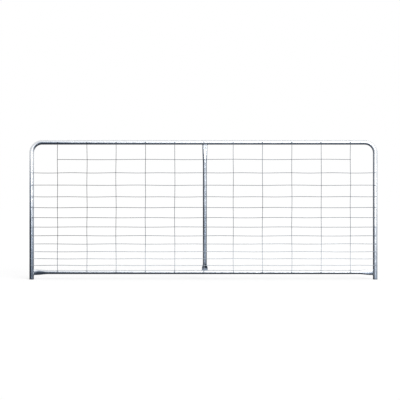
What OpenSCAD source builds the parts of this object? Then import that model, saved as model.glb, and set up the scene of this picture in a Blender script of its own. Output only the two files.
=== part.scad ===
// Welded tube-and-mesh field gate.
// A bent frame tube stands on two open feet. A bottom rail and a centre stay, with ends
// pressed flat, are welded into it, and a graduated welded mesh lies on the front.
// Origin: centre of the left stile's foot, seen from the mesh side. +X runs to the right
// stile, +Z is up and the mesh is on the -Y side. Millimetres.

/* [Gate] */
// Overall width over both stiles
gate_w = 2925; // [2200:5:4900]
// Overall height from the feet to the top of the top rail
gate_h = 1170; // [900:5:1500]
// Height of the bottom rail's axis above the feet
rail_h = 61; // [50:1:120]

/* [Frame tube] */
// Outer diameter of the bent frame tube
frame_od = 38; // [34:0.1:48.3]
// Wall of the frame tube
frame_wall = 2; // [1.5:0.1:3.2]
// Centreline radius of the two top bends
bend_r = 89; // [70:1:140]

/* [Bottom rail] */
// Outer diameter of the bottom rail
rail_od = 33.7; // [26:0.1:34]
// Wall of the bottom rail
rail_wall = 2; // [1.5:0.1:3.2]
// Thickness that its two ends are pressed to
rail_end_t = 8; // [7:0.5:16]
// Length over which each end changes from round to flat
rail_press_len = 110; // [50:5:200]

/* [Centre stay] */
// Outer diameter of the centre stay
stay_od = 33.7; // [26:0.1:34]
// Wall of the centre stay
stay_wall = 2; // [1.5:0.1:3.2]
// Distance of the stay's axis from the middle of the gate
stay_offset = 12; // [0:1:60]
// Thickness that its top end is pressed to
stay_top_t = 17; // [7:0.5:20]
// Length over which the top end changes from round to flat
stay_top_press_len = 155; // [50:5:250]
// Thickness that its foot is pressed to
stay_foot_t = 8; // [7:0.5:20]
// Length over which the foot changes from round to flat
stay_foot_press_len = 45; // [40:5:200]

/* [Mesh] */
// Wire thickness
wire_d = 4; // [3:0.5:6]
// How far two wires sink into each other where they are cross-welded
wire_sink = 0.6; // [0.3:0.1:1]
// Distance between the upright cross wires
cross_pitch = 245.5; // [150:0.5:300]
// Distance of the middle cross wire from the middle of the gate
cross_offset = 5; // [0:0.5:60]
// Least distance from the outermost cross wire to a stile's axis
cross_edge = 120; // [80:5:200]
// Height of the lowest line wire above the bottom rail's axis
line_first = 58; // [45:1:90]
// Gap between the two lowest line wires
line_gap = 55.8; // [45:0.1:80]
// Ratio of each gap to the gap below it
line_growth = 1.0715; // [1.02:0.0005:1.1]
// Least distance from the top line wire to the top rail's axis
line_top_edge = 100; // [80:5:150]

/* [Welds] */
// Leg of the fillet weld round each pressed end
weld_leg = 3.5; // [3:0.5:7]
// Length of each pressed end that keeps its full flatness
flat_len = 14; // [10:1:40]
// Gap left between a pressed end and the tube that it is butted to
root_gap = 0.3; // [0.1:0.1:0.6]
// Gap between the mesh and the tubes that it lies on
seat_gap = 0.2; // [0.1:0.1:0.5]
// How far a tack weld reaches past each side of the wire that it holds
tack_side = 2; // [1:0.5:4]
// How far a tack weld stands over the front of that wire
tack_cover = 1.5; // [1:0.5:3]

/* [Hidden] */

// Tube radii, and the axes that everything else is set from
frame_r = frame_od / 2;
rail_r = rail_od / 2;
stay_r = stay_od / 2;
right_x = gate_w - frame_od;
middle_x = right_x / 2;
stay_x = middle_x + stay_offset;
top_z = gate_h - frame_r;

// The fronts of all tubes are flush, so that the mesh lies flat on them
front_y = -frame_r;
rail_y = front_y + rail_r;
stay_y = front_y + stay_r;

// The line wires lie on the tubes, and the cross wires lie on the line wires
wire_r = wire_d / 2;
line_y = front_y - seat_gap - wire_r;
cross_y = line_y - (wire_d - wire_sink);
wire_sides = 8;
wire_corner_r = wire_r / cos(180 / wire_sides);

// Cross wires: the middle one and as many on each side of it as fit
middle_wire_x = middle_x + cross_offset;
wires_left = floor((middle_wire_x - cross_edge) / cross_pitch);
wires_right = floor((right_x - cross_edge - middle_wire_x) / cross_pitch);
cross_x = [for (i = [-wires_left:wires_right]) middle_wire_x + i * cross_pitch];

// Line wires: the gaps widen upwards until the next wire would come too near the top rail
max_line_wires = 24;
function line_height(i) =
    rail_h + line_first + line_gap * (pow(line_growth, i) - 1) / (line_growth - 1);
line_z = [for (i = [0:max_line_wires - 1])
    if (line_height(i) <= top_z - line_top_edge) line_height(i)];
// The top wire ends at the outermost cross wires, and the others run from stile to stile
full_line_z = [for (i = [0:len(line_z) - 2]) line_z[i]];
short_line_z = line_z[len(line_z) - 1];

// Facets of the pressed ends and of the welds round them
ring_n = 36;
press_steps = 8;
weld_steps = 4;
least_bead = 0.4;
cut = 1;

// A tack weld's radius over the wire, and how much wider its foot gets for each millimetre
// that the wire lies further off the tube
tack_r = wire_r + tack_side;
tack_flare = 0.4;

// How far below its crown a tube of radius r must be entered to meet a piece that reaches
// half to each side of the tube's axis
entry_margin = 0.5;
function entry(r, half) = r - sqrt(max(r * r - half * half, 0)) + entry_margin;
rail_entry = entry(frame_r, abs(rail_y) + rail_end_t / 2 + weld_leg);
foot_entry = entry(rail_r, abs(stay_y - rail_y) + stay_foot_t / 2 + weld_leg);
top_entry = entry(frame_r, abs(stay_y) + stay_top_t / 2 + weld_leg);

// ---------------------------------------------------------------- pressed tube ends

// Points round a flattened tube. r is the tube's radius where it is round and h is half
// the thickness where it is pressed. The section is two half circles joined by two straight
// sides, and its length round stays 2 * PI * r, as when a real tube is pressed. The width
// lies along X and the thickness along Y.
function flat_half(r, h) = PI * (r - h) / 2;
function flat_point(s, l, h) =
    s < l ? [s, -h]
    : s < l + PI * h ? [l + h * sin((s - l) / h * 180 / PI), -h * cos((s - l) / h * 180 / PI)]
    : s < 3 * l + PI * h ? [2 * l + PI * h - s, h]
    : s < 3 * l + 2 * PI * h
        ? [-l - h * sin((s - 3 * l - PI * h) / h * 180 / PI),
           h * cos((s - 3 * l - PI * h) / h * 180 / PI)]
    : [s - 4 * l - 2 * PI * h, -h];
function flat_ring(r, h, z) =
    [for (k = [0:ring_n - 1])
        let (p = flat_point((k + 0.5) / ring_n * 2 * PI * r, flat_half(r, h), h))
        [p[0], p[1], z]];
function smooth_step(t) = t * t * (3 - 2 * t);

// A closed wall between an outer and an inner stack of rings with ring_n points each
module ring_wall(outer, inner) {
    last = len(outer) - 1;
    inside = (last + 1) * ring_n;
    points = concat([for (ring = outer) each ring], [for (ring = inner) each ring]);
    faces = concat(
        [for (j = [0:last - 1], k = [0:ring_n - 1]) let (m = (k + 1) % ring_n)
            [j * ring_n + k, (j + 1) * ring_n + k, (j + 1) * ring_n + m, j * ring_n + m]],
        [for (j = [0:last - 1], k = [0:ring_n - 1]) let (m = (k + 1) % ring_n)
            [inside + j * ring_n + k, inside + j * ring_n + m,
             inside + (j + 1) * ring_n + m, inside + (j + 1) * ring_n + k]],
        [for (k = [0:ring_n - 1]) let (m = (k + 1) % ring_n)
            [k, m, inside + m, inside + k]],
        [for (k = [0:ring_n - 1]) let (m = (k + 1) % ring_n, e = last * ring_n)
            [e + k, inside + e + k, inside + e + m, e + m]]);
    polyhedron(points, faces, convexity = 6);
}

// Stations along an end that is flat from z = 0 and round again at z = flat + press: for
// each its place along the tube and half the tube's thickness there
function pressed_stations(r, t, flat, press) = concat([[0, t / 2]],
    [for (i = [0:press_steps])
        [flat + press * i / press_steps, t / 2 + (r - t / 2) * smooth_step(i / press_steps)]]);

// A tube along +Z that is flat over flat_a at its start and over flat_b at its end
module pressed_tube(r, wall, length, t_a, flat_a, press_a, t_b, flat_b, press_b) {
    start = pressed_stations(r, t_a, flat_a, press_a);
    end = pressed_stations(r, t_b, flat_b, press_b);
    stations = concat(start, [for (i = [len(end) - 1:-1:0]) [length - end[i][0], end[i][1]]]);
    ring_wall(
        [for (s = stations) flat_ring(r, s[1], s[0])],
        [for (s = stations) flat_ring(r - wall, s[1] - wall, s[0])]);
}

// The bead round a pressed end: a bulging fillet that starts below the crown of the tube
// it is laid on and dies out along the pressed end
module weld_bead(r, t, below) {
    stations = concat([[-below, weld_leg]],
        [for (i = [0:weld_steps])
            [weld_leg * sin(90 * i / weld_steps),
             max(weld_leg * cos(90 * i / weld_steps), least_bead)]]);
    ring_wall(
        [for (s = stations) flat_ring(r + s[1], t / 2 + s[1], s[0])],
        [for (s = stations) flat_ring(r, t / 2, s[0])]);
}

// ---------------------------------------------------------------- frame

// The frame's run: up the left stile, round both bends and down the right stile
module bend(r) {
    rotate_extrude(angle = 90, $fn = ring_n) translate([bend_r, 0]) circle(r = r, $fn = ring_n);
}
module frame_run(r, foot) {
    straight = top_z - bend_r;
    for (x = [0, right_x]) translate([x, 0, -foot])
        cylinder(r = r, h = straight + foot, $fn = ring_n);
    translate([bend_r, 0, top_z]) rotate([0, 90, 0])
        cylinder(r = r, h = right_x - 2 * bend_r, $fn = ring_n);
    translate([bend_r, 0, straight]) rotate([90, 0, 0]) rotate([0, 0, 90]) bend(r);
    translate([right_x - bend_r, 0, straight]) rotate([90, 0, 0]) bend(r);
}
module frame_tube() {
    color("lightsteelblue") difference() {
        frame_run(frame_r, 0);
        frame_run(frame_r - frame_wall, cut);
    }
}

// ---------------------------------------------------------------- rail and stay

module stile_bar(x, r) {
    translate([x, 0, 0]) cylinder(r = r, h = gate_h, $fn = ring_n);
}
// A short length of the top rail or of the bottom rail at the stay
module rail_bar(y, z, r) {
    translate([stay_x, y, z]) rotate([0, 90, 0])
        cylinder(r = r, h = 4 * stay_od, center = true, $fn = ring_n);
}

module bottom_rail() {
    start = frame_r - rail_entry;
    flat = rail_entry + flat_len;
    color("lightsteelblue") difference() {
        translate([start, rail_y, rail_h]) rotate([0, 90, 0])
            pressed_tube(rail_r, rail_wall, right_x - 2 * start,
                rail_end_t, flat, rail_press_len, rail_end_t, flat, rail_press_len);
        for (x = [0, right_x]) stile_bar(x, frame_r + root_gap);
    }
}

module centre_stay() {
    start = rail_h + rail_r - foot_entry;
    end = top_z - frame_r + top_entry;
    color("lightsteelblue") difference() {
        translate([stay_x, stay_y, start])
            pressed_tube(stay_r, stay_wall, end - start,
                stay_foot_t, foot_entry + flat_len, stay_foot_press_len,
                stay_top_t, top_entry + flat_len, stay_top_press_len);
        rail_bar(rail_y, rail_h, rail_r + root_gap);
        rail_bar(0, top_z, frame_r + root_gap);
    }
}

// ---------------------------------------------------------------- fillet welds

module rail_weld(stile_x, side) {
    color("silver") difference() {
        translate([stile_x + side * frame_r, rail_y, rail_h]) rotate([0, side * 90, 0])
            weld_bead(rail_r, rail_end_t, rail_entry);
        stile_bar(stile_x, frame_r);
    }
}
module stay_weld_foot() {
    color("silver") difference() {
        translate([stay_x, stay_y, rail_h + rail_r]) weld_bead(stay_r, stay_foot_t, foot_entry);
        rail_bar(rail_y, rail_h, rail_r);
    }
}
module stay_weld_top() {
    color("silver") difference() {
        translate([stay_x, stay_y, top_z - frame_r]) mirror([0, 0, 1])
            weld_bead(stay_r, stay_top_t, top_entry);
        rail_bar(0, top_z, frame_r);
    }
}

// ---------------------------------------------------------------- mesh

// A wire of few sides, with flats to its front and back
module wire(length) {
    rotate([0, 0, 180 / wire_sides]) cylinder(r = wire_corner_r, h = length, $fn = wire_sides);
}
module line_wire(x0, x1, z) {
    translate([x0, line_y, z]) rotate([0, 90, 0]) wire(x1 - x0);
}
module cross_wire(x) {
    translate([x, cross_y, rail_h]) wire(top_z - rail_h);
}
module wire_mesh() {
    color("gainsboro") union() {
        for (z = full_line_z) line_wire(0, right_x, z);
        line_wire(cross_x[0] - wire_r, cross_x[len(cross_x) - 1] + wire_r, short_line_z);
        for (x = cross_x) cross_wire(x);
    }
}

// ---------------------------------------------------------------- tack welds

// A dab of weld over a wire whose axis is at wire_y, from inside a tube of radius r to
// beyond the wire. Its seam lies at turn, which is a way that the wire leaves it.
module tack(x, z, wire_y, r, turn) {
    lift = line_y - wire_y;
    foot_r = tack_r + tack_flare * lift;
    base = entry(r, foot_r);
    top = base + front_y - wire_y + wire_r + tack_cover;
    translate([x, front_y + base, z]) rotate([90, 0, 0]) rotate([0, 0, turn])
        rotate_extrude($fn = ring_n)
            polygon([[0, 0], [foot_r, 0], [foot_r, base + lift / 2], [tack_r, base + lift],
                [tack_r, top - 0.5 * tack_r], [0.85 * tack_r, top - 0.2 * tack_r],
                [0.5 * tack_r, top], [0, top]]);
}
module tacks_on_stile(x, turn) {
    color("silver") difference() {
        for (z = full_line_z) tack(x, z, line_y, frame_r, turn);
        stile_bar(x, frame_r);
        for (z = full_line_z) line_wire(0, right_x, z);
    }
}
module tacks_on_rail(y, z, r, turn) {
    color("silver") difference() {
        for (x = cross_x) tack(x, z, cross_y, r, turn);
        translate([0, y, z]) rotate([0, 90, 0]) cylinder(r = r, h = right_x, $fn = ring_n);
        for (x = cross_x) cross_wire(x);
    }
}
module tacks_on_stay() {
    color("silver") difference() {
        for (z = line_z) tack(stay_x, z, line_y, stay_r, 0);
        translate([stay_x, stay_y, 0]) cylinder(r = stay_r, h = gate_h, $fn = ring_n);
        for (z = line_z) line_wire(cross_x[0], right_x, z);
        for (x = cross_x) cross_wire(x);
    }
}

frame_tube();
bottom_rail();
centre_stay();
wire_mesh();
rail_weld(0, 1);  // rail_weld_left
rail_weld(right_x, -1);  // rail_weld_right
stay_weld_top();
stay_weld_foot();
tacks_on_rail(0, top_z, frame_r, -90);  // tacks_top_rail
tacks_on_rail(rail_y, rail_h, rail_r, 90);  // tacks_bottom_rail
tacks_on_stile(0, 0);  // tacks_left_stile
tacks_on_stile(right_x, 180);  // tacks_right_stile
tacks_on_stay();  // tacks_centre_stay
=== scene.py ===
"""A welded tube-and-mesh field gate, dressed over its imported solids.

The frame, the rail, the stay, the wires and the welds are surfaces worked out with numpy
from the same sizes as the solids, and each stands for the solid it follows. Lengths are in
metres, X runs along the gate, the mesh is on the -Y side and Z is up.
"""
import math
from typing import NamedTuple

import bpy
import numpy as np
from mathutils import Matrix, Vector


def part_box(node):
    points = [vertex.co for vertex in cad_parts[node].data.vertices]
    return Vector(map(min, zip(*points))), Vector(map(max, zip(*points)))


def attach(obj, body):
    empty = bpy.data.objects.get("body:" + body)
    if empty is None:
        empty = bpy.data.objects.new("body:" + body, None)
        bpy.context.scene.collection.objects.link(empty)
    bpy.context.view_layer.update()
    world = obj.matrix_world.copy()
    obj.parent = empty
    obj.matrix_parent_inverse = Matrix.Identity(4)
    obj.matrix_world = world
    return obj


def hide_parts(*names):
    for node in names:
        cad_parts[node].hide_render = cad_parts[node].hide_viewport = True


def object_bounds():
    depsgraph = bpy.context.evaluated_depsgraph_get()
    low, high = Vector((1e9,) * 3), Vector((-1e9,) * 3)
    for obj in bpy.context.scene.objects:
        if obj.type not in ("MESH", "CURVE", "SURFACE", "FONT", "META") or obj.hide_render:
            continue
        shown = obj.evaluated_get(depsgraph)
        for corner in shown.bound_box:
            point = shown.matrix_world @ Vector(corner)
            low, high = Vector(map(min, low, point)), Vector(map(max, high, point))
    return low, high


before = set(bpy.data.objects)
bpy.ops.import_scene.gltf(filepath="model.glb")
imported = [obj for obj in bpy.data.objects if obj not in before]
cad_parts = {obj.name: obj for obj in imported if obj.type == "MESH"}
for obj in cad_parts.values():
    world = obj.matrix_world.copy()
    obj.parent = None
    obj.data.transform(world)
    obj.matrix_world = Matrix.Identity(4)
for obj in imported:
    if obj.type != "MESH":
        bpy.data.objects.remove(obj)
CAD_BOUNDS = [list(corner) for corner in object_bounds()]

bl_info = {
    "name": "Field gate",
    "version": (1, 0, 0),
    "blender": (4, 5, 0),
    "location": "View3D > Sidebar > Field gate",
    "description": "Builds the tubes, wires, welds and finishes of a galvanised field gate",
    "category": "Object",
}

BODY = "root"
MM = 0.001
# The right, back and top corner of the frame tube's box. The left stile's axis is at X 0,
# the frame's own axis at Y 0 and the feet are at Z 0.
FRAME_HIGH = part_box("frame_tube")[1]

# Facets round a tube, a wire, a fillet weld and a dab, which keep outlines smooth close up
TUBE_SIDES, WIRE_SIDES, BEAD_SIDES, DAB_SIDES = 72, 12, 320, 28
# Rings of the frame tube along each stile, each bend and the top rail
STILE_RINGS, BEND_RINGS, TOP_RINGS = 12, 32, 24
# Rings of a pressed tube along each flat, each press and the round middle
FLAT_RINGS, PRESS_RINGS, ROUND_RINGS = 5, 30, 24
# Rings across a fillet weld, and from the top of a dab to its rim
BEAD_RINGS, DAB_RINGS = 11, 8
# Distance between the rings of a wire, away from its cross welds
WIRE_STEP = 26 * MM
# Degrees from which an edge is sharp, on tubes and wires and on welds
SHARP_DEG, WELD_SHARP_DEG = 40, 60
# More line wires than any gate of this kind has
MAX_LINE_WIRES = 24

# Top of the range that random phases are drawn from, a little over a full turn
PHASES = 6.3
# Seeds of the wires' stray and of the first group of dabs
MESH_SEED, DAB_SEED = 11, 20

# Attribute that holds the painted light and shade of each point, with the piece's own
# dullness. 0 gives the dark end of the colour ramp, in painted shade, about 0.4 the usual
# colour, and about 0.9 the pale end, in painted light.
LIGHT_AND_TONE = "light_and_tone"
# How sharply each mark fades: the painted shade off the shade spot as a surface turns from
# it, the darkening up from the ground, the painted shade right from the left end, and the
# brightening up the lower wires
SHADE_SPOT_POWER, LOW_DARKENING_POWER, SHADE_POWER, LOW_WIRE_POWER = 12, 1.5, 4, 4
# How much facing up and lying high count on the bottom rail, which paints light on its upper
# half and shade on its lower half, against facing up elsewhere
RAIL_HALF_LIGHT = 0.7

# Materials that more than one operator uses
TUBE_ZINC = "hot_dip_galvanised_tube"
WELD_ZINC = "galvanised_weld_metal"

# Half the floor's width, how far it lies below the feet, and how far the camera sees
FLOOR_REACH, FLOOR_CLEAR, CAMERA_FAR = 60.0, 0.2 * MM, 200.0
# Where the two lamps stand, seen from the middle of the gate
KEY_PLACE, FRONT_PLACE = (2.3, -4.0, 3.2), (2.0, -7.0, 1.2)


class ShadeAndTone(NamedTuple):
    """A piece's shares of the painted light and shade and of the darkening towards the ground,
    its own dullness, and whether its painted light and shade split at the rail's axis"""
    exposure: float = 1
    splash: float = 0
    dullness: float = 0
    rail_halves: bool = False


# ---------------------------------------------------------------- sizes and colours

def length(name, description, default):
    """A property for a length in metres."""
    return bpy.props.FloatProperty(
        name=name, description=description, default=default, min=0.0,
        unit="LENGTH", subtype="DISTANCE", precision=4)


def ratio(name, description, default):
    """A property for a share from 0 to 1."""
    return bpy.props.FloatProperty(
        name=name, description=description, default=default, min=0.0, max=1.0,
        subtype="FACTOR")


def colour(name, description, default):
    """A property for a colour, given as an sRGB hex value."""
    return bpy.props.StringProperty(name=name, description=description, default=default)


class GateTubes(bpy.types.PropertyGroup):
    """Sizes of the bent frame tube, the bottom rail and the centre stay"""
    frame_diameter: length(
        "Frame tube", "Outer diameter of the bent frame tube", FRAME_HIGH.y * 2)
    frame_wall: length("Frame wall", "Wall of the frame tube", 2 * MM)
    bend_radius: length("Bend radius", "Centreline radius of the two top bends", 89 * MM)
    bend_flattening: ratio(
        "Bend flattening", "Share of its depth that the tube loses in a bend", 0.035)
    rim_round: length("Rim rounding", "Zinc-softened edge of the open feet", 0.4 * MM)
    rail_height: length("Rail height", "Height of the bottom rail's axis", 61 * MM)
    rail_diameter: length(
        "Rail and stay tube", "Outer diameter of the bottom rail and of the stay", 33.7 * MM)
    rail_wall: length("Rail and stay wall", "Wall of the rail and of the stay", 2 * MM)
    rail_end: length("Rail end", "Thickness that the rail's ends are pressed to", 8 * MM)
    rail_press: length(
        "Rail press length", "Length from round to flat at the rail's ends", 110 * MM)
    stay_offset: length(
        "Stay offset", "Distance of the stay's axis from the middle of the gate", 12 * MM)
    stay_top: length("Stay top", "Thickness that the stay's top is pressed to", 17 * MM)
    stay_top_press: length(
        "Stay top press length", "Length from round to flat at the stay's top", 155 * MM)
    stay_foot: length("Stay foot", "Thickness that the stay's foot is pressed to", 8 * MM)
    stay_foot_press: length(
        "Stay foot press length", "Length from round to flat at the stay's foot", 45 * MM)
    flat_length: length(
        "Flat length", "Length of each pressed end that keeps its flatness", 14 * MM)
    flat_dish: ratio(
        "Flat dishing", "Share of its thickness that a pressed end springs in", 0.10)
    root_gap: length("Root gap", "Gap under the weld between two tubes", 0.3 * MM)


class GateMesh(bpy.types.PropertyGroup):
    """Sizes of the welded wire mesh"""
    wire: length("Wire", "Thickness of the wires", 4 * MM)
    sink: length("Weld sink", "How far crossing wires sink into each other", 0.6 * MM)
    seat: length("Seat", "Gap between the mesh and the tubes", 0.2 * MM)
    pitch: length("Cross wire pitch", "Distance between the upright cross wires", 245.5 * MM)
    offset: length(
        "Cross wire offset", "How far right of the gate's middle the middle one stands", 5 * MM)
    edge: length(
        "Mesh edge", "Least distance from a stile's axis to a cross wire", 120 * MM)
    first: length(
        "First line wire", "Height of the lowest line wire above the rail's axis", 58 * MM)
    gap: length("First gap", "Gap between the two lowest line wires", 55.8 * MM)
    growth: bpy.props.FloatProperty(
        name="Growth", description="Ratio of each gap to the gap below it",
        default=1.0715, min=1.0, max=1.2, precision=4)
    top_edge: length(
        "Top edge", "Least distance from the top line wire to the top rail's axis", 100 * MM)
    wave: length("Wave", "How far a wire strays from a straight line", 1.6 * MM)
    flash: ratio("Weld flash", "Swelling of a wire at each cross weld", 0.16)


class GateWelds(bpy.types.PropertyGroup):
    """Sizes of the fillet welds and of the tack welds"""
    leg: length("Weld leg", "Leg of the fillet welds", 3.5 * MM)
    ripple: length("Ripple pitch", "Distance between two ripples of a weld", 3 * MM)
    ripple_depth: ratio("Ripple depth", "Depth of the ripples against the leg", 0.07)
    tack_side: length(
        "Tack side", "How far a tack reaches past each side of its wire", 2.2 * MM)
    tack_cover: length("Tack cover", "How far a tack stands over its wire", 1.5 * MM)
    tack_flare: ratio(
        "Tack flare", "Widening of a tack's foot for each unit of lift of its wire", 0.4)


class GateFinish(bpy.types.PropertyGroup):
    """Colours of the zinc coating, as sRGB hex values, its gloss, and the painted light and
    shade laid into its colour
    """
    # zinc_lit is the ramp's pale end, for painted light on the tops and on faces off the gate
    # and for the palest random tone; zinc_shaded is its dark end, for painted shade on the
    # sides and undersides and for the dullest tone
    zinc_lit: colour("Washed zinc", "Zinc that rain and sun have bleached", "#cdd0d4")
    zinc_mid: colour("Zinc", "The coating's usual colour", "#768190")
    zinc_shaded: colour("Dull zinc", "Zinc that stays sheltered and dull", "#1c2531")
    # The wire's pale end takes painted light and its dark end painted shade, as on the tube
    wire_lit: colour("Washed wire", "Wire that rain and sun have bleached", "#a2aab4")
    wire_mid: colour("Wire", "The wires' usual colour", "#5f6976")
    wire_shaded: colour("Dull wire", "Wire that stays sheltered and dull", "#151b24")
    # The weld's pale end takes painted light on its upper faces and its dark end painted shade
    # on its sides and undersides
    weld_lit: colour("Washed weld", "Crests of the welds", "#aab2ba")
    weld_mid: colour("Weld", "The welds' usual colour", "#5b6570")
    weld_shaded: colour("Dull weld", "Hollows and undersides of the welds", "#343d47")
    # Weights of the painted light and shade by way of facing: painted shade towards the shade
    # spot and on the right sides, painted light on faces off the gate and on the tops
    exposure: bpy.props.FloatVectorProperty(
        name="Exposure", size=4, default=(1.4, 0.3, 1.0, 1.4),
        description="What facing the bush and right costs, and facing level and up adds")
    # Faces turned towards this spot take a band of painted shade, which reaches higher the
    # farther the spot is
    shade_spot: bpy.props.FloatVectorProperty(
        name="Bush", size=2, default=(-0.9, -1.77), unit="LENGTH",
        description="Where the bush stands that keeps what faces it damp and dull")
    shade_spot_rise: ratio("Bush rise", "How steeply the bush's shade rises away from it", 0.4)
    # The uprights are darker towards the ground, less so at the right end
    splash: ratio("Splash", "How much duller the uprights are at the ground", 0.76)
    right_spared: ratio("Dry end", "Share of the splash that the right end is spared", 0.4)
    # Painted shade over the left end of the gate, though not on the left stile
    shade: ratio("Shade", "How much duller the gate is at its left end", 0.7)
    # The lowest wires are brighter, fading with height
    low_wire_lift: ratio("Rub", "How much brighter the lowest wires are rubbed", 0.68)
    low_wire_reach: length("Rub reach", "How high up the wires are rubbed", 0.33)
    # Darker where the rail meets the stiles
    joint_darkening: ratio("Damp", "How much duller the zinc is where rail and stile meet", 0.3)
    joint_reach: length("Damp reach", "How far from there the zinc is dull", 45 * MM)
    tube_metal: ratio("Tube metal", "Share of bare metal shine on the tubes", 0.55)
    tube_roughness: ratio("Tube roughness", "Roughness of the tubes' coating", 0.32)
    spangle: length("Spangle", "Width of one zinc crystal", 11 * MM)


class GateStage(bpy.types.PropertyGroup):
    """Camera, lamps and floor"""
    distance: length("Camera distance", "Distance of the camera from the gate", 9.0)
    view_width: length("View width", "Width that the camera sees at the gate", 3.3615)
    aim_left: length("Aim left", "How far left of the gate's middle it aims", 28.5 * MM)
    aim_up: length("Aim up", "How far above the gate's middle it aims", 82.2 * MM)
    key: bpy.props.FloatProperty(
        name="Key lamp", description="Strength of the broad lamp overhead, in W/m2",
        default=1.8)
    lamp_spread: bpy.props.FloatProperty(
        name="Lamp spread", description="Angle that each broad lamp takes up",
        default=math.radians(34), subtype="ANGLE")
    front: bpy.props.FloatProperty(
        name="Front lamp", description="Strength of the broad lamp in front, in W/m2",
        default=1.9)
    fill: ratio("Fill light", "Strength of the soft light from all round", 0.42)
    floor: colour("Floor", "Colour of the floor", "#b0b0b0")
    floor_lift: ratio("Floor lift", "How far the floor is lifted towards white", 0.64)


# ---------------------------------------------------------------- mesh from arrays

def closed_grid(rows, columns):
    """The quads of a grid whose rows and columns both run round and meet themselves."""
    row = np.arange(rows)[:, None]
    column = np.arange(columns)[None, :]
    next_row, next_column = (row + 1) % rows, (column + 1) % columns
    return np.stack(np.broadcast_arrays(
        row * columns + column, row * columns + next_column,
        next_row * columns + next_column, next_row * columns + column), -1).reshape(-1, 4)


def open_grid(rows, columns):
    """The quads of a stack of closed rings that is open at its first and last ring."""
    return closed_grid(rows, columns)[:(rows - 1) * columns]


def angles_round(sides):
    """The angles of `sides` points that share out a full turn, the first at 0."""
    return np.arange(sides) / sides * 2 * math.pi


def signed_volume(points, quads):
    """Six times the volume that the quads enclose, which is negative inside out."""
    a, b, c, d = (points[quads[:, i]] for i in range(4))
    return np.sum(a * np.cross(b, c)) + np.sum(a * np.cross(c, d))


def outward(points, quads):
    """The quads of a closed surface, turned over if they point inwards."""
    return quads if signed_volume(points, quads) > 0 else quads[:, ::-1]


def light_and_tone(mesh, shade_and_tone):
    """The painted light and shade of each point of a mesh, with the piece's own dullness.

    Facing level and facing up add their weights times the normal's share that way, which
    paints light on faces off the gate and on the tops and paints shade on the sides and
    undersides. Facing the shade spot takes its own away, times the shade spot power of the
    normal's share towards it and a bell curve of the height over the shade spot's rise
    times the distance from it, which paints a band of shade. Facing right takes its own
    times the square of the share, painted shade on the right sides. On the bottom rail the
    shade spot counts for nothing, and facing up is the rail half share times the sum of the
    normal's share and the height over the rail's axis in radii, which paints light on its
    upper half and shade on its lower half. Then come off the darkening towards the ground,
    times the low darkening power of how far down the point lies and less at the right end,
    the painted shade at the left end, times the shade power of how far left it lies but
    none within half a joint reach of the stile's axis, the darkening where the rail meets
    the stiles, times a bell curve of the distance, and the piece's own dullness.
    """
    finish, at_line = bpy.context.scene.gate_finish, layout()
    facing, place = (np.empty(len(mesh.vertices) * 3, np.float32) for _ in range(2))
    mesh.vertex_normals.foreach_get("vector", facing)
    mesh.vertices.foreach_get("co", place)
    facing, place = facing.reshape(-1, 3), place.reshape(-1, 3)
    rail_z, rail_r = at_line["rail_z"], at_line["rail_r"]
    # A band of painted shade on faces turned to the shade spot, reaching lower the nearer the
    # spot
    to_shade_spot = np.array(finish.shade_spot, np.float32) - place[:, :2]
    shade_spot_far = np.linalg.norm(to_shade_spot, axis=1)
    at_shade_spot = (np.maximum((facing[:, :2] * to_shade_spot).sum(1) / shade_spot_far, 0) ** SHADE_SPOT_POWER
               * np.exp(-(place[:, 2] / (finish.shade_spot_rise * shade_spot_far)) ** 2))
    up = facing[:, 2]
    # On the bottom rail, painted light on the upper half and painted shade on the lower half by
    # height over the axis, and no shade spot
    if shade_and_tone.rail_halves:
        at_shade_spot = np.zeros_like(up)
        up = RAIL_HALF_LIGHT * (up + (place[:, 2] - rail_z) / rail_r)
    # Painted shade towards the shade spot and on the right sides, painted light on faces off
    # the gate and on the tops
    ways = np.stack([-at_shade_spot, -np.maximum(facing[:, 0], 0) ** 2,
                     np.hypot(facing[:, 0], facing[:, 1]), up], -1)
    down = np.clip(1 - place[:, 2] / FRAME_HIGH.z, 0, 1)
    left = np.clip(1 - place[:, 0] / FRAME_HIGH.x, 0, 1)
    off_stile = np.clip(place[:, 0] / finish.joint_reach - 0.5, 0, 1)
    from_edge = np.minimum(place[:, 0], at_line["right_x"] - place[:, 0])
    away = ((from_edge - at_line["frame_r"]) ** 2
            + (place[:, 2] - rail_z) ** 2) / finish.joint_reach ** 2
    # Painted light and shade from facing, less the darkening towards the ground, the painted
    # shade at the left end, the darkening at the joints and the piece's own dullness
    return (shade_and_tone.exposure * (ways @ np.array(finish.exposure, np.float32))
            - shade_and_tone.splash * finish.splash * down ** LOW_DARKENING_POWER
            * (1 - finish.right_spared * (1 - left) ** 2)
            - finish.shade * left ** SHADE_POWER * off_stile
            - finish.joint_darkening * np.exp(-away) - shade_and_tone.dullness)


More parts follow.
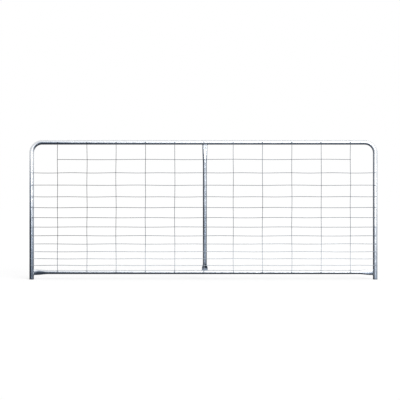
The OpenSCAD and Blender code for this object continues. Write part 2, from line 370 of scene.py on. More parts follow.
def add_piece(name, parts, material, nodes, sharp_deg=SHARP_DEG, shade_and_tone=ShadeAndTone()):
    """Joins parts into one object that stands for CAD nodes.

    Each part is its points, its quads and its end caps, which are rings of point numbers.
    """
    points, faces, first = [], [], 0
    for part_points, quads, caps in parts:
        part_points = part_points.reshape(-1, 3)
        points.append(part_points)
        faces += (quads + first).tolist() + [[first + int(i) for i in cap] for cap in caps]
        first += len(part_points)
    mesh = bpy.data.meshes.new(name)
    mesh.from_pydata(np.concatenate(points).tolist(), [], faces)
    mesh.polygons.foreach_set("use_smooth", np.ones(len(faces), bool))
    mesh.set_sharp_from_angle(angle=math.radians(sharp_deg))
    mesh.materials.append(material)
    mesh.update()
    # Each point's painted light and shade, with the piece's dullness, which the colour ramp
    # reads
    mesh.attributes.new(LIGHT_AND_TONE, "FLOAT", "POINT").data.foreach_set(
        "value", light_and_tone(mesh, shade_and_tone))
    piece = bpy.data.objects.new(name, mesh)
    bpy.context.scene.collection.objects.link(piece)
    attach(piece, BODY)
    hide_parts(*nodes)
    return piece


def wall_part(outer, inner):
    """A tube wall: the outer rings run out along the tube and the inner rings run back, so
    that the rings close on themselves and the ends of the tube are its rims."""
    points = np.concatenate([outer, inner[::-1]])
    quads = closed_grid(*points.shape[:2])
    flat = points.reshape(-1, 3)
    return flat, outward(flat, quads), ()


# ---------------------------------------------------------------- where things are

def layout():
    """The gate's main lines, worked out from the solids and the sizes as part.scad does."""
    tubes, mesh = bpy.context.scene.gate_tubes, bpy.context.scene.gate_mesh
    frame_r = tubes.frame_diameter / 2
    rail_r = tubes.rail_diameter / 2
    right_x = FRAME_HIGH.x - frame_r
    top_z = FRAME_HIGH.z - frame_r
    middle_x = right_x / 2
    middle_wire = middle_x + mesh.offset
    left = math.floor((middle_wire - mesh.edge) / mesh.pitch)
    right = math.floor((right_x - mesh.edge - middle_wire) / mesh.pitch)
    number = np.arange(MAX_LINE_WIRES)
    heights = (tubes.rail_height + mesh.first
               + mesh.gap * (mesh.growth ** number - 1) / (mesh.growth - 1))
    line_y = -frame_r - mesh.seat - mesh.wire / 2
    return {
        "frame_r": frame_r, "rail_r": rail_r, "right_x": right_x, "top_z": top_z,
        "stay_x": middle_x + tubes.stay_offset,
        "rail_y": rail_r - frame_r, "rail_z": tubes.rail_height,
        "cross_x": middle_wire + mesh.pitch * np.arange(-left, right + 1),
        "line_z": heights[heights <= top_z - mesh.top_edge],
        "line_y": line_y, "cross_y": line_y - (mesh.wire - mesh.sink),
    }


# ---------------------------------------------------------------- tubes

def ease(t):
    """A smooth step: three t squared less two t cubed."""
    return t * t * (3 - 2 * t)


def frame_path(at, bend_r, straight, right_x):
    """Points, outward directions and how deep in a bend, at distances `at` from the left
    foot.

    The path is a line up, a quarter circle, a line across, a quarter circle and a line
    down. On each quarter circle the point is the bend's centre plus the outward direction
    times the bend's radius. How deep in a bend is the squared sine of twice the turn.
    """
    arc = bend_r * math.pi / 2
    across = right_x - 2 * bend_r
    turn = (np.clip((at - straight) / arc, 0, 1)
            + np.clip((at - straight - arc - across) / arc, 0, 1)) * math.pi / 2
    outward_way = np.stack([-np.cos(turn), np.zeros_like(turn), np.sin(turn)], -1)
    centre_x = np.clip(at - straight - arc, 0, across) + bend_r
    points = outward_way * bend_r
    points[:, 0] += centre_x
    up = np.minimum(at, straight) - np.maximum(at - straight - 2 * arc - across, 0)
    points[:, 2] += up
    in_bend = np.sin(2 * turn) ** 2
    return points, outward_way, in_bend


def frame_rings(at, radius, tubes, straight, right_x):
    """Rings round the frame's path. In a bend the tube is flattened across the bend: its
    radius that way shrinks by the flattening times how deep in the bend it is."""
    points, way, in_bend = frame_path(at, tubes.bend_radius, straight, right_x)
    angle = angles_round(TUBE_SIDES)
    across = radius * (1 - tubes.bend_flattening * in_bend)
    rings = (points[:, None] + way[:, None] * (across[:, None] * np.cos(angle))[..., None])
    rings[..., 1] += radius[:, None] * np.sin(angle)
    return rings


def build_frame_tube(material):
    """The bent frame tube: outer and inner wall, with rims softened by the zinc.

    Near a foot both walls draw in by the rim's rounding less the square root of its square
    less the square of how much nearer the foot is than that.
    """
    tubes, at_line = bpy.context.scene.gate_tubes, layout()
    right_x, radius = at_line["right_x"], at_line["frame_r"]
    straight = at_line["top_z"] - tubes.bend_radius
    arc = tubes.bend_radius * math.pi / 2
    across = right_x - 2 * tubes.bend_radius
    whole = 2 * straight + 2 * arc + across
    rim, past_rim = tubes.rim_round, 10 * MM
    at_foot = np.array([0, rim * 0.3, rim])
    at = np.concatenate([
        at_foot, np.linspace(past_rim, straight, STILE_RINGS)[:-1],
        straight + np.linspace(0, arc, BEND_RINGS)[:-1],
        straight + arc + np.linspace(0, across, TOP_RINGS)[:-1],
        straight + arc + across + np.linspace(0, arc, BEND_RINGS)[:-1],
        straight + 2 * arc + across + np.linspace(0, straight - past_rim, STILE_RINGS),
        whole - at_foot[::-1]])
    from_end = np.minimum(at, whole - at)
    soft = rim - np.sqrt(np.maximum(rim ** 2 - np.maximum(rim - from_end, 0) ** 2, 0))
    outer = frame_rings(at, radius - soft, tubes, straight, right_x)
    inner = frame_rings(at, radius - tubes.frame_wall + soft, tubes, straight, right_x)
    add_piece("frame_tube_zinc", [wall_part(outer, inner)], material,
              ["frame_tube"], shade_and_tone=ShadeAndTone(splash=1))


def pressed_section(radius, half, sides):
    """Points and outward directions round a flattened tube, one row for each half thickness.

    The section is two half circles of radius `half` joined by two straight sides. Their
    length is set so that the way round stays that of a circle of radius `radius`, as when
    a tube is pressed. The first coordinate runs across the width, the second through the
    thickness.
    """
    radius, half = (np.broadcast_to(np.asarray(v, float), np.shape(half))[:, None]
                    for v in (radius, half))
    run = (np.arange(sides) + 0.5) / sides * 2 * math.pi * radius
    side = math.pi * (radius - half) / 2
    first = (run - side) / half
    second = (run - 3 * side - math.pi * half) / half
    where = [run < side, run < side + math.pi * half, run < 3 * side + math.pi * half,
             run < 3 * side + 2 * math.pi * half]
    zero = np.zeros_like(run)
    width = np.select(where, [
        run, side + half * np.sin(first), 2 * side + math.pi * half - run,
        -side - half * np.sin(second)], run - 4 * side - 2 * math.pi * half)
    depth = np.select(where, [
        zero - half, -half * np.cos(first), zero + half, half * np.cos(second)],
        zero - half)
    way_w = np.select(where, [zero, np.sin(first), zero, -np.sin(second)], zero)
    way_d = np.select(where, [zero - 1, -np.cos(first), zero + 1, np.cos(second)], zero - 1)
    return np.stack([width, depth], -1), np.stack([way_w, way_d], -1)


def pressed_tube(radius, wall, start, end, dish):
    """Outer and inner rings of a tube with two pressed ends, as (width, depth, along).

    An end is one of `welded_ends`. Along its flat the rings move from the cut face to
    `flat`, and between `flat` and `round` the half thickness eases from `half` to the
    radius. The flats spring in by the dish times the square of how far they are pressed
    times a bell curve across the width.
    """
    steps, flats = np.linspace(0, 1, PRESS_RINGS)[1:], np.ones(FLAT_RINGS)
    along = np.concatenate([
        start["flat"] * flats, start["flat"] + (start["round"] - start["flat"]) * steps,
        np.linspace(start["round"], end["round"], ROUND_RINGS + 2)[1:-1],
        end["flat"] + (end["round"] - end["flat"]) * steps[::-1], end["flat"] * flats])
    pressed = np.concatenate([flats, 1 - ease(steps)])
    press = np.concatenate([pressed, np.zeros(ROUND_RINGS), pressed[::-1]])
    from_start = np.arange(len(along)) < len(along) // 2
    pressed_half = np.where(from_start, start["half"], end["half"])
    half = radius + (pressed_half - radius) * press
    # The bell curve fades to a twentieth at the edge of the flat, whose half width has a
    # little added so that nothing divides by 0 where the tube is round
    fade, spread = 3, 0.5 * math.pi * (radius - half)[:, None] + 1e-9
    walls = []
    for inset in (0.0, wall):
        section, _ = pressed_section(radius - inset, half - inset, TUBE_SIDES)
        width, depth = section[..., 0], section[..., 1]
        bell = np.exp(-(width / spread) ** 2 * fade)
        depth = depth * (1 - dish * (press ** 2)[:, None] * bell)
        at = along[:, None] + 0 * width
        for end_of, rows, cut in (
                (start, slice(0, FLAT_RINGS), np.linspace(1, 0, FLAT_RINGS)),
                (end, slice(-FLAT_RINGS, None), np.linspace(0, 1, FLAT_RINGS))):
            share = cut[:, None]
            at[rows] = at[rows] * (1 - share) + end_of["face"](depth[rows]) * share
        walls.append(np.stack([width, depth, at], -1))
    return walls


def tube_surface(radius, centre_depth):
    """A function of depth: how far the face of a tube that runs across stands from its
    axis there. It is the square root of the radius squared less the square of how far the
    depth is from the axis's own."""
    return lambda depth: np.sqrt(np.maximum(radius ** 2 - (depth - centre_depth) ** 2, 0))


def welded_ends():
    """The four pressed ends, each where it is welded to a tube.

    Each gives `face` and `weld_face`, functions of depth that say where the end is cut and
    where the weld meets the tube, `flat`, where its flatness ends, `round`, where it is
    round again, `half`, half its pressed thickness, `sign`, the way that it leaves the
    tube, and `place`, which takes (width, depth, along) to X, Y and Z.
    """
    tubes, at_line = bpy.context.scene.gate_tubes, layout()
    frame_r, rail_r = at_line["frame_r"], at_line["rail_r"]
    rail_y, right_x = at_line["rail_y"], at_line["right_x"]
    rail_z, top_z = at_line["rail_z"], at_line["top_z"]
    stay_x = at_line["stay_x"]

    def on_rail(p):
        return np.stack([p[..., 2], rail_y + p[..., 1], rail_z + p[..., 0]], -1)

    def on_stay(p):
        return np.stack([stay_x + p[..., 0], rail_y + p[..., 1], p[..., 2]], -1)

    def from_axis(origin, sign, radius, axis_y, gap):
        surface = tube_surface(radius + gap, axis_y - rail_y)
        return lambda depth: origin + sign * surface(depth)

    ends = {}
    for name, origin, sign, radius, axis_y, thick, press, place in (
            ("rail_left", 0.0, 1, frame_r, 0.0, tubes.rail_end, tubes.rail_press, on_rail),
            ("rail_right", right_x, -1, frame_r, 0.0, tubes.rail_end, tubes.rail_press,
             on_rail),
            ("stay_foot", rail_z, 1, rail_r, rail_y, tubes.stay_foot,
             tubes.stay_foot_press, on_stay),
            ("stay_top", top_z, -1, frame_r, 0.0, tubes.stay_top, tubes.stay_top_press,
             on_stay)):
        flat = origin + sign * (radius + tubes.flat_length)
        ends[name] = {
            "face": from_axis(origin, sign, radius, axis_y, tubes.root_gap),
            "weld_face": from_axis(origin, sign, radius, axis_y, 0.0),
            "flat": flat, "round": flat + sign * press, "half": thick / 2, "sign": sign,
            "place": place}
    return ends


def build_pressed_tube(name, node, start, end, material, shade_and_tone):
    """The bottom rail or the centre stay, from one pressed end to the other."""
    tubes = bpy.context.scene.gate_tubes
    outer, inner = pressed_tube(
        tubes.rail_diameter / 2, tubes.rail_wall, start, end, tubes.flat_dish)
    add_piece(name, [wall_part(start["place"](outer), start["place"](inner))],
              material, [node], shade_and_tone=shade_and_tone)


# ---------------------------------------------------------------- welds

def weld_bead(end, radius, leg, ripple, depth, seed):
    """A rippled fillet round a pressed end.

    Round the end it follows the pressed section. Across the bead, at an angle from 0 on the
    tube to a right angle on the pressed end, a point lies off the section by the leg times
    the cosine and along the end by the leg times the sine, measured from the tube's
    surface. The leg swells and shrinks by a cosine of the distance round, which is the
    ripples, and by a slow wander of the hand, which is four slower cosines.
    """
    mean_leg, wander_leg, lean, buried = 0.93, 0.05, 1.4, 0.4 * MM
    section, way = pressed_section(radius, np.array([end["half"]]), BEAD_SIDES)
    section, way = section[0], way[0]
    random = np.random.default_rng(seed)
    turn = angles_round(BEAD_SIDES)
    ripples = round(2 * math.pi * radius / ripple)
    wander = sum(random.uniform(-1, 1) * np.cos(k * turn + random.uniform(0, PHASES)) / k
                 for k in (2, 3, 5, 7))
    angle = np.linspace(0, math.pi / 2, BEAD_RINGS)[:, None]
    # Ripples lean over in the middle of the bead and die out at its two toes
    crest = (np.cos(ripples * turn + lean * np.sin(2 * angle))
             * np.sqrt(np.sin(2 * angle)))
    size = leg * (mean_leg + wander_leg * wander) * (1 + depth * crest)
    off, on = size * np.cos(angle), size * np.sin(angle)
    # One last ring under both surfaces closes the bead
    off, on = (np.concatenate([v, np.full((1, BEAD_SIDES), -buried)]) for v in (off, on))
    width = section[:, 0] + way[:, 0] * off
    across = section[:, 1] + way[:, 1] * off
    along = end["weld_face"](across) + end["sign"] * on
    points = end["place"](np.stack([width, across, along], -1))
    quads = closed_grid(*points.shape[:2])
    flat = points.reshape(-1, 3)
    return flat, outward(flat, quads), ()


def dabs(centres, along, radius, crown_y, foot, height, seed):
    """Tack welds: one uneven dome of weld for each (x, z) centre.

    At a share s of the way from the top to the rim, a dab is `foot` times s wide and stands
    `height` times the square root of one less s squared over the tube. The rim wavers by
    slow sines of the angle. `along` is the tube's own direction, 0 for X and 1 for Z, and
    the tube's surface falls away from its crown across that direction. Two rings and a pole
    under the tube's surface close the dab.
    """
    mean_foot, shortest, buried, pole_buried = 0.97, 0.9, 0.5 * MM, 0.6 * MM
    # How many times each sine goes round the rim, and its depth against the foot
    sines = ((2, 0.05), (3, 0.035), (5, 0.02))
    random = np.random.default_rng(seed)
    dome = np.sin(np.linspace(0, math.pi / 2, DAB_RINGS + 1))[1:]
    share = np.concatenate([dome, [1.0, 0.6]])
    rows, sides = len(share), DAB_SIDES
    angle = angles_round(sides)
    parts = []
    for x, z in centres:
        phases = random.uniform(0, 2 * math.pi, len(sines))
        rim = foot * sum((size * np.sin(times * angle + phase)
                          for (times, size), phase in zip(sines, phases)), mean_foot)
        tall = height * random.uniform(shortest, 1.0)
        run = share[:, None] * rim
        offset = np.stack([run * np.cos(angle), run * np.sin(angle)])
        fall = radius - np.sqrt(np.maximum(radius ** 2 - offset[1 - along] ** 2, 0))
        rise = tall * np.sqrt(np.maximum(1 - share[:, None] ** 2, 0)) + 0 * run
        rise[-2:] = -buried
        y = crown_y + fall - rise
        points = np.stack([x + offset[0], y, z + offset[1]], -1).reshape(-1, 3)
        poles = np.array([[x, crown_y - tall, z], [x, crown_y + pole_buried, z]])
        points = np.concatenate([points, poles])
        quads = open_grid(rows, sides)
        last = (rows - 1) * sides
        ring = np.arange(sides)
        following = (ring + 1) % sides
        top = np.stack([np.full(sides, rows * sides), following, ring], -1)
        base = np.stack([np.full(sides, rows * sides + 1), last + ring, last + following], -1)
        if signed_volume(points, quads) < 0:
            quads, top, base = quads[:, ::-1], top[:, ::-1], base[:, ::-1]
        parts.append((points, quads, np.concatenate([top, base])))
    return parts


# ---------------------------------------------------------------- wires

def wire_part(run, fixed_y, place, held, wire_r, flash, crossings, wave, random):
    """One wire: a circle carried along a line that strays from straight by two long sines,
    less the straight lines between the places where it is held, and swells by a bell curve
    at each cross weld. The rings stand closest at the cross welds."""
    near = np.array([-7, -4.5, -3, -2, -1, 0, 1, 2, 3, 4.5, 7]) * MM
    swell_reach = 2.2 * MM
    # The two sines' shares of the wave, and the least and greatest length of one, in metres
    sizes, shortest, longest = (0.7, 0.3), 0.35, 0.8
    start, end = held[0], held[-1]
    at = np.concatenate([np.arange(start, end, WIRE_STEP),
                         (crossings[:, None] + near).ravel(), [start, end]])
    # Rings at the same hundredth of a millimetre are one
    at = np.unique(np.round(at[(at >= start) & (at <= end)], 5))
    spans, phases = random.uniform(shortest, longest, 2), random.uniform(0, PHASES, 2)
    stray = sum(wave * size * np.sin(2 * math.pi * (at - start) / span + phase)
                for size, span, phase in zip(sizes, spans, phases))
    stray = stray - np.interp(at, held, np.interp(held, at, stray))
    swell = 1 + flash * np.exp(-((at[:, None] - crossings) / swell_reach) ** 2).sum(1)
    angle = angles_round(WIRE_SIDES)
    across = (run + stray)[:, None] + (wire_r * swell)[:, None] * np.cos(angle)
    depth = fixed_y + wire_r * np.sin(angle) + 0 * across
    points = place(at[:, None] + 0 * across, depth, across).reshape(-1, 3)
    quads = open_grid(len(at), WIRE_SIDES)
    ring = np.arange(WIRE_SIDES)
    caps = [ring[::-1], ring + (len(at) - 1) * WIRE_SIDES]
    if signed_volume(points, quads) < 0:
        quads, caps = quads[:, ::-1], [cap[::-1] for cap in caps]
    return points, quads, caps


def build_wire_mesh(material):
    """The mesh: line wires from stile to stile, and cross wires in front of them."""
    mesh, at_line = bpy.context.scene.gate_mesh, layout()
    random = np.random.default_rng(MESH_SEED)
    wire_r = mesh.wire / 2
    cross_x, line_z = at_line["cross_x"], at_line["line_z"]
    parts = []
    for number, z in enumerate(line_z):
        top_one = number == len(line_z) - 1
        start = cross_x[0] - wire_r if top_one else 0.0
        end = cross_x[-1] + wire_r if top_one else at_line["right_x"]
        parts.append(wire_part(
            z, at_line["line_y"], lambda a, d, c: np.stack([a, d, c], -1),
            (start, at_line["stay_x"], end), wire_r, mesh.flash, cross_x, mesh.wave, random))
    for x in cross_x:
        parts.append(wire_part(
            x, at_line["cross_y"], lambda a, d, c: np.stack([c, d, a], -1),
            (at_line["rail_z"], at_line["top_z"]), wire_r, mesh.flash, line_z,
            mesh.wave, random))
    piece = add_piece("mesh_wires", parts, material, ["wire_mesh"],
                      shade_and_tone=ShadeAndTone(exposure=0.3, dullness=0.08))
    lift_low_wires(piece.data)


def lift_low_wires(mesh):
    """Brightens the lower wires: the lift, over e raised to the low wire power of the height
    over its reach, adds to each point's value in the painted light and shade attribute."""
    finish = bpy.context.scene.gate_finish
    place = np.empty(len(mesh.vertices) * 3, np.float32)
    light_and_tone_values = np.empty(len(mesh.vertices), np.float32)
    values = mesh.attributes[LIGHT_AND_TONE].data
    mesh.vertices.foreach_get("co", place)
    values.foreach_get("value", light_and_tone_values)
    lifted = finish.low_wire_lift * np.exp(-(place[2::3] / finish.low_wire_reach) ** LOW_WIRE_POWER)
    values.foreach_set("value", light_and_tone_values + lifted)


# ---------------------------------------------------------------- materials

def linear(hex_colour):
    """An sRGB hex value as linear red, green, blue and alpha."""
    parts = [int(hex_colour[i:i + 2], 16) / 255 for i in (1, 3, 5)]
    return [c / 12.92 if c <= 0.04045 else ((c + 0.055) / 1.055) ** 2.4
            for c in parts] + [1.0]


def add_node(tree, kind, inputs=None, **settings):
    """Adds a node, sets its settings, and fills its inputs with values or with links."""
    made = tree.nodes.new(kind)
    for name, value in settings.items():
        setattr(made, name, value)
    for key, value in (inputs or {}).items():
        if isinstance(value, bpy.types.NodeSocket):
            tree.links.new(value, made.inputs[key])
        else:
            made.inputs[key].default_value = value
    return made


def new_material(name):
    """An empty material with its output node."""
    made = bpy.data.materials.new(name)
    made.use_nodes = True
    made.node_tree.nodes.clear()
    return made, made.node_tree, made.node_tree.nodes.new("ShaderNodeOutputMaterial")


def zinc_material(name, colours, metal, roughness, spangle, grain, bump_height):
    """Hot-dip zinc on steel.

    The coating freezes into crystals, the spangle, that lie at different tilts, so each
    crystal has its own grey and gloss. Over them lie slow clouds where the zinc has begun
    to go matt, faint runs where it drained down in the bath, and a fine grain, which is
    drawn coarser than the real one so that it shows.
    """
    cloud_size, run_width, run_length = 300 * MM, 6 * MM, 150 * MM
    made, tree, output = new_material(name)
    place = add_node(tree, "ShaderNodeTexCoord").outputs["Object"]
    crystals = add_node(tree, "ShaderNodeTexVoronoi", {
        "Vector": place, "Scale": 1 / spangle, "Randomness": 1.0}, feature="F1")
    tilt = add_node(tree, "ShaderNodeSeparateColor", {0: crystals.outputs["Color"]})
    clouds = add_node(tree, "ShaderNodeTexNoise", {
        "Vector": place, "Scale": 1 / cloud_size, "Detail": 3.0, "Roughness": 0.5})
    # Runs go down the gate as it hung in the bath
    drained = add_node(tree, "ShaderNodeMapping", {
        "Vector": place, "Scale": (1 / run_width, 1 / run_width, 1 / run_length)})
    runs = add_node(tree, "ShaderNodeTexNoise", {
        "Vector": drained.outputs["Vector"], "Scale": 1.0, "Detail": 2.0})
    fine = add_node(tree, "ShaderNodeTexNoise", {
        "Vector": place, "Scale": 1 / grain, "Detail": 4.0, "Roughness": 0.6})

    # The painted light and shade, read from the attribute
    light_and_shade = add_node(tree, "ShaderNodeAttribute", attribute_name=LIGHT_AND_TONE).outputs["Fac"]

    def plus(total, pattern, share):
        """The total and a share of a pattern."""
        return add_node(tree, "ShaderNodeMath", {
            0: pattern, 1: share, 2: total}, operation="MULTIPLY_ADD").outputs[0]

    # Half of the four shares is 0.55, so that from -0.43 the tone's middle comes to 0.12
    tone = -0.43
    for pattern, share in ((tilt.outputs[0], 0.14), (clouds.outputs["Fac"], 0.5),
                           (runs.outputs["Fac"], 0.26), (fine.outputs["Fac"], 0.2)):
        tone = plus(tone, pattern, share)
    # The random tone and the painted light and shade together pick the colour from the ramp
    shaded_tone = plus(tone, light_and_shade, 1.0)
    ramp = add_node(tree, "ShaderNodeValToRGB", {"Fac": shaded_tone})
    elements = ramp.color_ramp.elements
    elements[0].position, elements[0].color = 0.0, linear(colours[0])
    elements[1].position, elements[1].color = 1.0, linear(colours[2])
    middle = elements.new(0.5)
    middle.color = linear(colours[1])
    gloss = add_node(tree, "ShaderNodeMapRange", {
        "Value": tone, "From Min": -0.1, "From Max": 0.35,
        "To Min": roughness + 0.12, "To Max": roughness - 0.08})
    height = 0.0
    for pattern, share in ((fine.outputs["Fac"], 0.5), (tilt.outputs[0], 0.35),
                           (runs.outputs["Fac"], 0.4)):
        height = plus(height, pattern, share)
    bump = add_node(tree, "ShaderNodeBump", {
        "Height": height, "Strength": 0.35, "Distance": bump_height})
    shader = add_node(tree, "ShaderNodeBsdfPrincipled", {
        "Base Color": ramp.outputs["Color"], "Roughness": gloss.outputs["Result"],
        "Metallic": metal, "Normal": bump.outputs["Normal"]})
    tree.links.new(shader.outputs[0], output.inputs["Surface"])
    return made


def tube_material():
    """Hot-dip galvanised mild steel tube: silver grey with a faint spangle and a soft
    sheen, which with the painted light on the tops gives the long pale highlights."""
    finish = bpy.context.scene.gate_finish
    return zinc_material(
        TUBE_ZINC, (finish.zinc_shaded, finish.zinc_mid, finish.zinc_lit),
        metal=finish.tube_metal, roughness=finish.tube_roughness, spangle=finish.spangle,
        grain=1.6 * MM, bump_height=0.25 * MM)


def wire_material():
    """Zinc-coated drawn steel wire: too thin for a spangle to grow, so it is a paler, more
    even and more matt grey than the tube."""
    finish = bpy.context.scene.gate_finish
    return zinc_material(
        "galvanised_drawn_wire", (finish.wire_shaded, finish.wire_mid, finish.wire_lit),
        metal=0.4, roughness=0.5, spangle=5 * MM, grain=0.9 * MM, bump_height=0.12 * MM)


def weld_material():
    """Arc-weld metal under the zinc: duller and darker than the tube, because the zinc
    lies thin and rough over the ripples."""
    finish = bpy.context.scene.gate_finish
    return zinc_material(
        WELD_ZINC, (finish.weld_shaded, finish.weld_mid, finish.weld_lit),
        metal=0.55, roughness=0.46, spangle=3 * MM, grain=0.8 * MM, bump_height=0.3 * MM)


# ---------------------------------------------------------------- stage

def seen_light(tree):
    """1 for camera, glossy and transmission rays, so that the eye and the shine on the
    metal both see the pale surroundings, and 0 for the soft light that falls on things."""
    path = add_node(tree, "ShaderNodeLightPath")
    either = add_node(tree, "ShaderNodeMath", {
        0: path.outputs["Is Camera Ray"], 1: path.outputs["Is Glossy Ray"]},
        operation="MAXIMUM")
    return add_node(tree, "ShaderNodeMath", {
        0: either.outputs[0], 1: path.outputs["Is Transmission Ray"]},
        operation="MAXIMUM").outputs[0]


def floor_material():
    """Matt white studio floor. It is lifted to the white of the surroundings for the eye,
    and keeps the gate's shadow."""
    stage = bpy.context.scene.gate_stage
    made, tree, output = new_material("matt_studio_floor")
    matt = add_node(tree, "ShaderNodeBsdfDiffuse", {"Color": linear(stage.floor)})
    seen = add_node(tree, "ShaderNodeMath", {
        0: seen_light(tree), 1: stage.floor_lift}, operation="MULTIPLY")
    glow = add_node(tree, "ShaderNodeEmission", {
        "Color": (1, 1, 1, 1), "Strength": seen.outputs[0]})
    both = add_node(tree, "ShaderNodeAddShader", {0: matt.outputs[0], 1: glow.outputs[0]})
    tree.links.new(both.outputs[0], output.inputs["Surface"])
    return made


def set_world():
    """White surroundings to the eye and the shine, and a weaker soft light on things."""
    stage = bpy.context.scene.gate_stage
    world = bpy.data.worlds.new("studio")
    world.use_nodes = True
    tree = world.node_tree
    tree.nodes.clear()
    strength = add_node(tree, "ShaderNodeMapRange", {
        "Value": seen_light(tree), "To Min": stage.fill, "To Max": 1.0})
    ground = add_node(tree, "ShaderNodeBackground", {
        "Color": (1, 1, 1, 1), "Strength": strength.outputs["Result"]})
    add_node(tree, "ShaderNodeOutputWorld", {"Surface": ground.outputs[0]})
    bpy.context.scene.world = world


def add_lamp(name, power, spread, place, aim):
    """A broad lamp, as from a wide pale sky, that points from one place at another."""
    data = bpy.data.lights.new(name, "SUN")
    data.energy, data.angle = power, spread
    lamp = bpy.data.objects.new(name, data)
    lamp.location = place
    way = np.subtract(aim, place)
    yaw = math.atan2(way[1], way[0])
    down = math.atan2(-way[2], math.hypot(way[0], way[1]))
    lamp.rotation_euler = (math.pi / 2 - down, 0, yaw - math.pi / 2)
    bpy.context.scene.collection.objects.link(lamp)


def add_floor():
    """A wide floor at the gate's feet."""
    reach, low = FLOOR_REACH, CAD_BOUNDS[0][2] - FLOOR_CLEAR
    corners = np.array([[-reach, -reach], [reach, -reach], [reach, reach], [-reach, reach]])
    points = np.column_stack([corners, np.full(4, low)])
    mesh = bpy.data.meshes.new("floor")
    mesh.from_pydata(points.tolist(), [], [[0, 1, 2, 3]])
    mesh.materials.append(floor_material())
    floor = bpy.data.objects.new("floor", mesh)
    bpy.context.scene.collection.objects.link(floor)


def add_camera(middle_x, middle_z):
    """A camera square to the gate, at the height that it aims at."""
    stage = bpy.context.scene.gate_stage
    data = bpy.data.cameras.new("camera")
    data.sensor_width = 36.0
    data.lens = data.sensor_width * stage.distance / stage.view_width
    data.clip_end = CAMERA_FAR
    camera = bpy.data.objects.new("camera", data)
    camera.location = (middle_x - stage.aim_left, -stage.distance, middle_z + stage.aim_up)
    camera.rotation_euler = (math.pi / 2, 0, 0)
    bpy.context.scene.collection.objects.link(camera)
    bpy.context.scene.camera = camera


# ---------------------------------------------------------------- operators

class GATE_OT_frame_tube(bpy.types.Operator):
    """Builds the bent tube that is both stiles and the top rail"""
    bl_idname = "gate.frame_tube"
    bl_label = "Frame tube"

    def execute(self, context):
        build_frame_tube(tube_material())
        return {"FINISHED"}


class GATE_OT_pressed_tubes(bpy.types.Operator):
    """Builds the bottom rail and the centre stay with their pressed ends"""
    bl_idname = "gate.pressed_tubes"
    bl_label = "Bottom rail and centre stay"

    def execute(self, context):
        ends, zinc = welded_ends(), bpy.data.materials[TUBE_ZINC]
        build_pressed_tube("bottom_rail_zinc", "bottom_rail", ends["rail_left"],
                           ends["rail_right"], zinc, ShadeAndTone(splash=0.5, rail_halves=True))
        build_pressed_tube("centre_stay_zinc", "centre_stay", ends["stay_foot"],
                           ends["stay_top"], zinc, ShadeAndTone(splash=0.6, dullness=0.33))
        return {"FINISHED"}


class GATE_OT_wire_mesh(bpy.types.Operator):
    """Builds the graduated welded wire mesh"""
    bl_idname = "gate.wire_mesh"
    bl_label = "Wire mesh"

    def execute(self, context):
        build_wire_mesh(wire_material())
        return {"FINISHED"}


class GATE_OT_fillet_welds(bpy.types.Operator):
    """Builds the rippled welds round the four pressed ends"""
    bl_idname = "gate.fillet_welds"
    bl_label = "Fillet welds"

    def execute(self, context):
        ends, metal, welds = welded_ends(), weld_material(), context.scene.gate_welds
        radius = context.scene.gate_tubes.rail_diameter / 2
        for seed, (end, node) in enumerate((
                ("rail_left", "rail_weld_left"), ("rail_right", "rail_weld_right"),
                ("stay_top", "stay_weld_top"), ("stay_foot", "stay_weld_foot"))):
            bead = weld_bead(ends[end], radius, welds.leg, welds.ripple,
                             welds.ripple_depth, seed)
            add_piece(node + "_bead", [bead], metal, [node], WELD_SHARP_DEG)
        return {"FINISHED"}


class GATE_OT_tack_welds(bpy.types.Operator):
    """Builds the dabs of weld that hold the mesh to the tubes"""
    bl_idname = "gate.tack_welds"
    bl_label = "Tack welds"

    def execute(self, context):
        at, welds, mesh = layout(), context.scene.gate_welds, context.scene.gate_mesh
        metal = bpy.data.materials[WELD_ZINC]
        front_y = -at["frame_r"]
        lift = at["line_y"] - at["cross_y"]
        foot = mesh.wire / 2 + welds.tack_side
        height = front_y - at["line_y"] + mesh.wire / 2 + welds.tack_cover
        cross_x, line_z = at["cross_x"], at["line_z"]
        for seed, (node, centres, along, radius, raised) in enumerate((
                ("tacks_top_rail", [(x, at["top_z"]) for x in cross_x], 0,
                 at["frame_r"], lift),
                ("tacks_bottom_rail", [(x, at["rail_z"]) for x in cross_x], 0,
                 at["rail_r"], lift),
                ("tacks_left_stile", [(0.0, z) for z in line_z[:-1]], 1, at["frame_r"], 0),
                ("tacks_right_stile", [(at["right_x"], z) for z in line_z[:-1]], 1,
                 at["frame_r"], 0),
                ("tacks_centre_stay", [(at["stay_x"], z) for z in line_z], 1,
                 at["rail_r"], 0))):
            parts = dabs(centres, along, radius, front_y, foot + welds.tack_flare * raised,
                         height + raised, DAB_SEED + seed)
            add_piece(node + "_dabs", parts, metal, [node], WELD_SHARP_DEG)
        return {"FINISHED"}


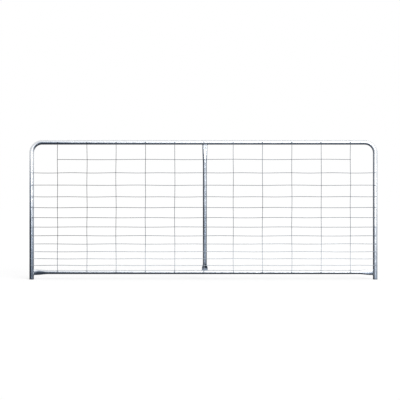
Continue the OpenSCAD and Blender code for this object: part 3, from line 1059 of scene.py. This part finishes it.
class GATE_OT_stage(bpy.types.Operator):
    """Sets up the floor, the surroundings, the lamps and the camera"""
    bl_idname = "gate.stage"
    bl_label = "Stage"

    def execute(self, context):
        low, high = (np.array(corner) for corner in CAD_BOUNDS)
        middle = (low + high) / 2
        stage = context.scene.gate_stage
        add_floor()
        set_world()
        add_lamp("key", stage.key, stage.lamp_spread, middle + KEY_PLACE, middle)
        add_lamp("front", stage.front, stage.lamp_spread, middle + FRONT_PLACE, middle)
        add_camera(middle[0], middle[2])
        context.scene.view_settings.view_transform = "Standard"
        return {"FINISHED"}


class GATE_PT_panel(bpy.types.Panel):
    """Lists the gate's pieces and their sizes"""
    bl_idname = "GATE_PT_panel"
    bl_label = "Field gate"
    bl_space_type = "VIEW_3D"
    bl_region_type = "UI"
    bl_category = "Field gate"

    def draw(self, context):
        for group in PROPERTY_GROUPS:
            box = self.layout.box()
            box.label(text=group)
            settings = getattr(context.scene, group)
            for name in settings.bl_rna.properties.keys():
                if name not in ("rna_type", "name"):
                    box.prop(settings, name)
        for operator in OPERATORS:
            self.layout.operator(operator.bl_idname)


PROPERTY_GROUPS = {
    "gate_tubes": GateTubes, "gate_mesh": GateMesh, "gate_welds": GateWelds,
    "gate_finish": GateFinish, "gate_stage": GateStage}
OPERATORS = (
    GATE_OT_frame_tube, GATE_OT_pressed_tubes, GATE_OT_wire_mesh, GATE_OT_fillet_welds,
    GATE_OT_tack_welds, GATE_OT_stage)


def register():
    for name, group in PROPERTY_GROUPS.items():
        bpy.utils.register_class(group)
        setattr(bpy.types.Scene, name, bpy.props.PointerProperty(type=group))
    for made in (*OPERATORS, GATE_PT_panel):
        bpy.utils.register_class(made)


def unregister():
    for made in (GATE_PT_panel, *reversed(OPERATORS)):
        bpy.utils.unregister_class(made)
    for name, group in reversed(PROPERTY_GROUPS.items()):
        delattr(bpy.types.Scene, name)
        bpy.utils.unregister_class(group)


def main():
    register()
    bpy.ops.gate.frame_tube()
    bpy.ops.gate.pressed_tubes()
    bpy.ops.gate.wire_mesh()
    bpy.ops.gate.fillet_welds()
    bpy.ops.gate.tack_welds()
    bpy.ops.gate.stage()


if __name__ == "__main__":
    main()
